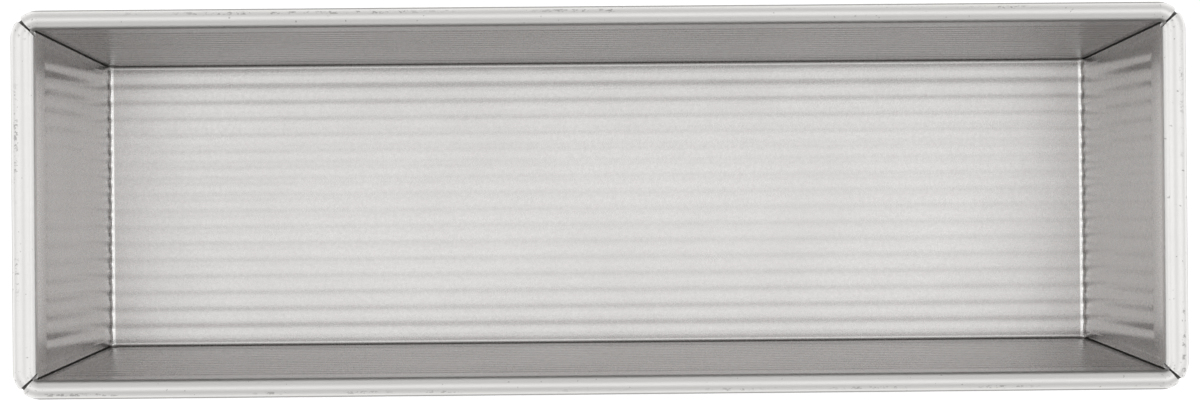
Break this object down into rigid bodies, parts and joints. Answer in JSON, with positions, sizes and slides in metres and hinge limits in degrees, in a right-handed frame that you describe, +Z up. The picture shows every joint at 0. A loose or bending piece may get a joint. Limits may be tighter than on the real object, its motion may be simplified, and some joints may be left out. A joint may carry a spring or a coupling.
{
  "type": "pullman loaf pan",
  "caption": "Long straight-sided open baking pan folded from one fluted steel sheet, with hemmed envelope corners and a rim rolled round a wire.",
  "frame": {"origin": "middle of the underside, on the plane of the flat strips that the pan stands on", "axes": "+X along the pan, towards the right of the picture; +Y across it, towards the top of the picture; +Z up, out of the open top"},
  "size_m": [0.3448, 0.114, 0.1047],
  "materials": {
    "aluminised_sheet": "satin aluminised steel with a faint rolling grain",
    "steel_wire": "drawn steel wire"
  },
  "bodies": {
    "root": {"pan_sheet": "aluminised_sheet", "rim_wire": "steel_wire"}
  },
  "joints": []
}
